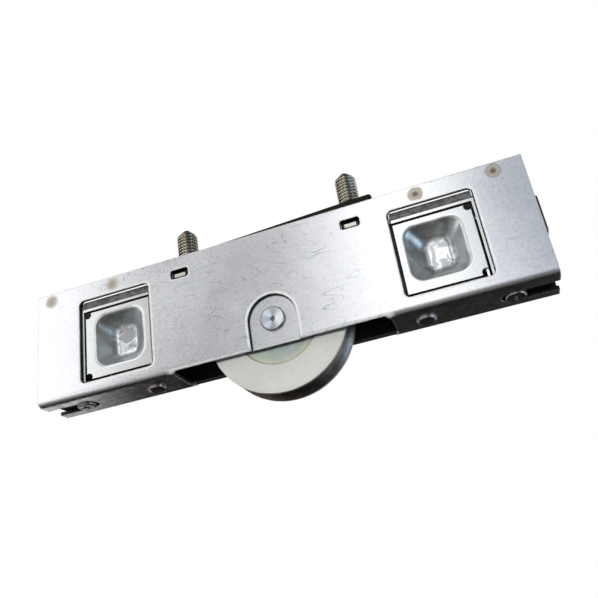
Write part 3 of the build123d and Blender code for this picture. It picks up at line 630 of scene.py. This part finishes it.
def screw_mesh(name, x, low, high):
    """A screw with a helical thread, a chamfered nub end and a hexagon socket below."""
    root_end = high - NUB_HEIGHT
    rows = int(round((root_end - low) / THREAD_PITCH * ROWS_PER_PITCH))
    rings = []

    def ring(radius_of, height):
        points = []
        for column in range(THREAD_COLUMNS):
            angle = 2 * math.pi * column / THREAD_COLUMNS
            radius = radius_of(angle)
            points.append((x + radius * math.cos(angle), radius * math.sin(angle), height))
        rings.append(points)

    def thread_radius(height):
        limit_top = SCREW_RADIUS - max(0.0, height - (root_end - CHAMFER))
        limit_low = SCREW_RADIUS - max(0.0, low + CHAMFER / 2 - height)
        limit = min(limit_top, limit_low)

        def radius_of(angle):
            phase = (height / THREAD_PITCH - angle / (2 * math.pi)) % 1.0
            flank = abs(2 * phase - 1.0)
            crest = min(1.0, max(0.0, (flank - 0.10) / 0.74))
            return min(limit, SCREW_RADIUS - THREAD_DEPTH * (1.0 - crest))

        return radius_of

    def hexagon(angle):
        turned = (angle + math.pi / 6) % (math.pi / 3) - math.pi / 6
        return SOCKET_HALF_FLATS / math.cos(turned)

    def round_of(radius):
        return lambda angle: radius

    ring(round_of(0.02 * MM), low + SOCKET_DEPTH)
    ring(hexagon, low + SOCKET_DEPTH - 0.4 * MM)
    ring(hexagon, low + 0.12 * MM)
    ring(lambda angle: hexagon(angle) + 0.12 * MM, low)
    for row in range(rows + 1):
        ring(thread_radius(low + (root_end - low) * row / rows), low + (root_end - low) * row / rows)
    ring(round_of(NUB_RADIUS + 0.15 * MM), root_end)
    ring(round_of(NUB_RADIUS), root_end + 0.15 * MM)
    ring(round_of(NUB_RADIUS), high - 0.2 * MM)
    ring(round_of(NUB_RADIUS - 0.2 * MM), high)
    ring(round_of(0.02 * MM), high)

    verts = [point for points in rings for point in points]
    faces = []
    for row in range(len(rings) - 1):
        for column in range(THREAD_COLUMNS):
            after = (column + 1) % THREAD_COLUMNS
            a = row * THREAD_COLUMNS + column
            b = row * THREAD_COLUMNS + after
            faces.append((a, b, b + THREAD_COLUMNS, a + THREAD_COLUMNS))
    faces.append(tuple(reversed(range(THREAD_COLUMNS))))
    last = (len(rings) - 1) * THREAD_COLUMNS
    faces.append(tuple(range(last, last + THREAD_COLUMNS)))
    mesh = bpy.data.meshes.new(name)
    mesh.from_pydata(verts, [], faces)
    mesh.validate()
    piece = bpy.data.objects.new(name, mesh)
    bpy.context.scene.collection.objects.link(piece)
    return piece


def make_screws(material):
    for side in ("left", "right"):
        node = "adjusting_screw_" + side
        low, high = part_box(node)
        piece = screw_mesh("threaded_screw_" + side, (low.x + high.x) / 2, low.z, high.z)
        piece.data.materials.append(material)
        for polygon in piece.data.polygons:
            polygon.use_smooth = True
        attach(piece, "screw_" + side)
        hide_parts(node)


# Finishes on the nodes

def finish_nodes():
    housing = sheet_steel(
        "housing_finish", (0.82, 0.83, 0.85), 0.19, HOUSING_WALL, edge=0.5 * MM, details=housing_details
    )
    yoke = sheet_steel(
        "yoke_finish", (0.76, 0.77, 0.79), 0.25, YOKE_WALL, scratch=0.7, details=yoke_details
    )
    bracket = sheet_steel(
        "bracket_finish",
        (0.80, 0.81, 0.81),
        0.17,
        BRACKET_WALL,
        scratch=0.2,
        edge=0.2 * MM,
        details=bracket_details,
    )
    plate = sheet_steel(
        "plate_finish", (0.72, 0.69, 0.62), 0.28, NO_WALL, scratch=0.5, details=plate_details
    )
    nut = sheet_steel("nut_finish", (0.80, 0.79, 0.77), 0.26, NO_WALL, scratch=0.5)
    rivet = turned_steel("rivet_finish", (0.42, 0.39, 0.38), 0.24, 0.12 * MM, "z")
    axle = axle_steel("axle_finish")
    tyre = tyre_steel("tyre_finish")
    race = turned_steel("race_finish", (0.80, 0.81, 0.82), 0.14, 0.10 * MM)
    cage = sheet_steel("cage_finish", (0.62, 0.60, 0.55), 0.30, NO_WALL)
    core = moulded_nylon("core_finish", (0.80, 0.79, 0.735), 0.42)
    cap = cap_plastic("cap_finish")
    bar = dark_steel("bar_finish")
    finishes = {
        "outer_housing": housing,
        "wheel_yoke": yoke,
        "end_bracket": bracket,
        "nut_plate": plate,
        "lock_bar": bar,
        "axle": axle,
        "spacer": axle,
        "bearing_inner_ring": race,
        "bearing_outer_ring": race,
        "bearing_balls": race,
        "bearing_cage": cage,
        "wheel_core": core,
        "wheel_tyre": tyre,
        "dust_cap": cap,
        "floor_rivet": rivet,
        "slot_screw": rivet,
        "slot_nut": nut,
    }
    for name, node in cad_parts.items():
        stem = name.removesuffix("_left").removesuffix("_right")
        stem = stem.removesuffix("_front").removesuffix("_rear")
        if stem in finishes:
            node.data.materials.clear()
            node.data.materials.append(finishes[stem])


# Stage, light and camera

def make_floor():
    bpy.ops.mesh.primitive_plane_add(size=6.0, location=(0, 0, -0.25))
    floor = bpy.context.object
    floor.name = "studio_floor"
    g = Finish("floor_finish")
    tone = g.mix(g.step(g.noise(3.0, 3.0), 0.3, 0.7), (0.84, 0.84, 0.84), (0.88, 0.88, 0.87))
    g.set(Base_Color=tone, Roughness=0.8, Emission_Color=(1.0, 1.0, 1.0), Emission_Strength=0.55)
    floor.data.materials.append(g.material)
    floor.visible_glossy = False
    floor.visible_diffuse = False


def turn_share(degrees):
    """Place in the ramp of a direction, counted from the front, right positive."""
    return 0.5 + degrees / 360.0


def height_share(degrees):
    """Place in the ramp of a direction's height above the horizon."""
    return 0.5 + 0.5 * math.sin(math.radians(degrees))


def grey(value):
    return (value, value, value)


def glow(g, azimuth, elevation, inner, outer):
    """1 within the inner angle of a direction, falling smoothly to 0 at the outer one."""
    turn, rise = math.radians(azimuth), math.radians(elevation)
    toward = (math.sin(turn) * math.cos(rise), -math.cos(turn) * math.cos(rise), math.sin(rise))
    along = 0.0
    for part, share in zip((g.x, g.y, g.z), toward):
        along = g.math("ADD", g.math("MULTIPLY", part, share), along)
    return g.step(along, math.cos(math.radians(outer)), math.cos(math.radians(inner)))


def upright_strip(g, share, azimuth, half_width, height):
    """A tall narrow light at one azimuth, from just under the horizon to high up."""
    away = g.math("ABSOLUTE", g.math("SUBTRACT", share, turn_share(azimuth)))
    narrow = g.step(away, half_width / 720.0, half_width / 360.0, 1.0, 0.0)
    low = g.step(height, height_share(-12), height_share(-4))
    high = g.step(height, height_share(48), height_share(60), 1.0, 0.0)
    return g.math("MULTIPLY", narrow, g.math("MULTIPLY", low, high))


def make_world():
    """Soft boxes round the object, a dark ground behind it, and a plain white backdrop."""
    world = bpy.data.worlds.new("studio_light")
    bpy.context.scene.world = world
    world.use_nodes = True
    g = Graph(world.node_tree, "Generated")
    turn = g.math("ARCTAN2", g.x, g.math("MULTIPLY", g.y, -1.0))
    share = g.math("ADD", g.math("MULTIPLY", turn, 0.5 / math.pi), 0.5)
    height = g.math("ADD", g.math("MULTIPLY", g.z, 0.5), 0.5)
    around = g.ramp(
        share,
        [
            (turn_share(-180), grey(0.22)),
            (turn_share(-120), grey(0.26)),
            (turn_share(-92), (0.23, 0.21, 0.18)),
            (turn_share(-59), (0.28, 0.31, 0.33)),
            (turn_share(-44), grey(0.81)),
            (turn_share(-36), grey(1.20)),
            (turn_share(-31), grey(0.54)),
            (turn_share(-27), grey(0.315)),
            (turn_share(-23), grey(0.225)),
            (turn_share(-19), grey(0.36)),
            (turn_share(-13), grey(0.36)),
            (turn_share(-9), grey(0.87)),
            (turn_share(-5), grey(1.25)),
            (turn_share(0), grey(1.06)),
            (turn_share(4), (0.34, 0.357, 0.39)),
            (turn_share(9), (0.235, 0.26, 0.30)),
            (turn_share(15), (0.30, 0.34, 0.40)),
            (turn_share(24), (0.13, 0.15, 0.17)),
            (turn_share(38), (0.12, 0.14, 0.16)),
            (turn_share(62), (0.15, 0.15, 0.13)),
            (turn_share(100), grey(0.20)),
            (turn_share(140), grey(0.22)),
            (turn_share(180), grey(0.24)),
        ],
    )
    front = g.ramp(
        height,
        [
            (height_share(-90), (0.07, 0.065, 0.06)),
            (height_share(-60), (0.10, 0.09, 0.08)),
            (height_share(-40), (0.25, 0.23, 0.20)),
            (height_share(-28), (0.55, 0.54, 0.52)),
            (height_share(-16), grey(1.0)),
            (height_share(45), grey(1.0)),
            (height_share(70), grey(0.6)),
            (height_share(90), grey(0.45)),
        ],
    )
    rear = g.ramp(
        height,
        [
            (height_share(-90), (0.07, 0.06, 0.05)),
            (height_share(-45), (0.05, 0.04, 0.035)),
            (height_share(-16), (0.05, 0.045, 0.04)),
            (height_share(0), grey(0.5)),
            (height_share(12), grey(1.0)),
            (height_share(90), grey(0.5)),
        ],
    )
    upward = g.mix(g.step(g.y, -0.15, 0.15), front, rear)
    color = g.mix(1.0, around, upward, "MULTIPLY")
    color = g.mix(1.0, color, grey(1.6), "MULTIPLY")
    color = g.mix(upright_strip(g, share, 96, 12, height), color, grey(1.0))
    color = g.mix(upright_strip(g, share, -76, 10, height), color, grey(2.4))
    color = g.mix(glow(g, -144, -17, 1.5, 3.5), color, grey(5.0), "ADD")
    color = g.mix(glow(g, 150, -9, 6, 16), color, (0.12, 0.17, 0.22), "ADD")
    color = g.mix(glow(g, 132, -18, 8, 34), color, grey(0.50), "ADD")
    color = g.mix(glow(g, -116, -18, 6, 26), color, grey(0.50), "ADD")
    light = g.tree.nodes.new("ShaderNodeBackground")
    g.link(color, light.inputs["Color"])
    path = g.tree.nodes.new("ShaderNodeLightPath")
    dimmed = g.step(path.outputs["Is Diffuse Ray"], 0.0, 1.0, 1.0, DIFFUSE_SHARE)
    g.link(dimmed, light.inputs["Strength"])
    backdrop = g.tree.nodes.new("ShaderNodeBackground")
    backdrop.inputs["Color"].default_value = (1.0, 1.0, 1.0, 1.0)
    choose = g.tree.nodes.new("ShaderNodeMixShader")
    g.link(path.outputs["Is Camera Ray"], choose.inputs[0])
    g.link(light.outputs[0], choose.inputs[1])
    g.link(backdrop.outputs[0], choose.inputs[2])
    output = g.tree.nodes.new("ShaderNodeOutputWorld")
    g.link(choose.outputs[0], output.inputs["Surface"])


def soft_light(name, place, target, size, power, color=(1.0, 1.0, 1.0), glossy=False):
    data = bpy.data.lights.new(name, "AREA")
    data.shape = "DISK"
    data.size = size
    data.energy = power
    data.color = color
    lamp = bpy.data.objects.new(name, data)
    lamp.location = place
    lamp.rotation_euler = (Vector(target) - Vector(place)).to_track_quat("-Z", "Y").to_euler()
    lamp.visible_glossy = glossy
    bpy.context.scene.collection.objects.link(lamp)


def make_lights():
    middle = (0, 0, 20 * MM)
    soft_light("key", (-0.10, -0.92, -0.065), middle, 0.12, 4.4)
    soft_light("rear_fill", (0.2, 0.9, 0.35), middle, 0.7, 8.0)
    soft_light("left_fill", (-0.9, 0.1, 0.25), middle, 0.5, 3.0)
    soft_light("right_fill", (0.9, 0.1, 0.25), middle, 0.5, 3.0)
    soft_light("right_low", (0.55, -0.12, -0.10), (0, 0, 10 * MM), 0.40, 0.9, (0.50, 0.76, 1.0), True)


def make_camera():
    data = bpy.data.cameras.new("photo_camera")
    data.sensor_width = SENSOR_WIDTH
    data.lens = CAMERA_LENS
    camera = bpy.data.objects.new("photo_camera", data)
    camera.location = CAMERA_PLACE
    camera.rotation_euler = Euler([math.radians(angle) for angle in CAMERA_TURN], "XYZ")
    bpy.context.scene.collection.objects.link(camera)
    bpy.context.scene.camera = camera


bpy.context.scene.view_settings.view_transform = "Standard"
make_camera()
finish_nodes()
make_screws(screw_steel("screw_finish"))
make_floor()
make_world()
make_lights()
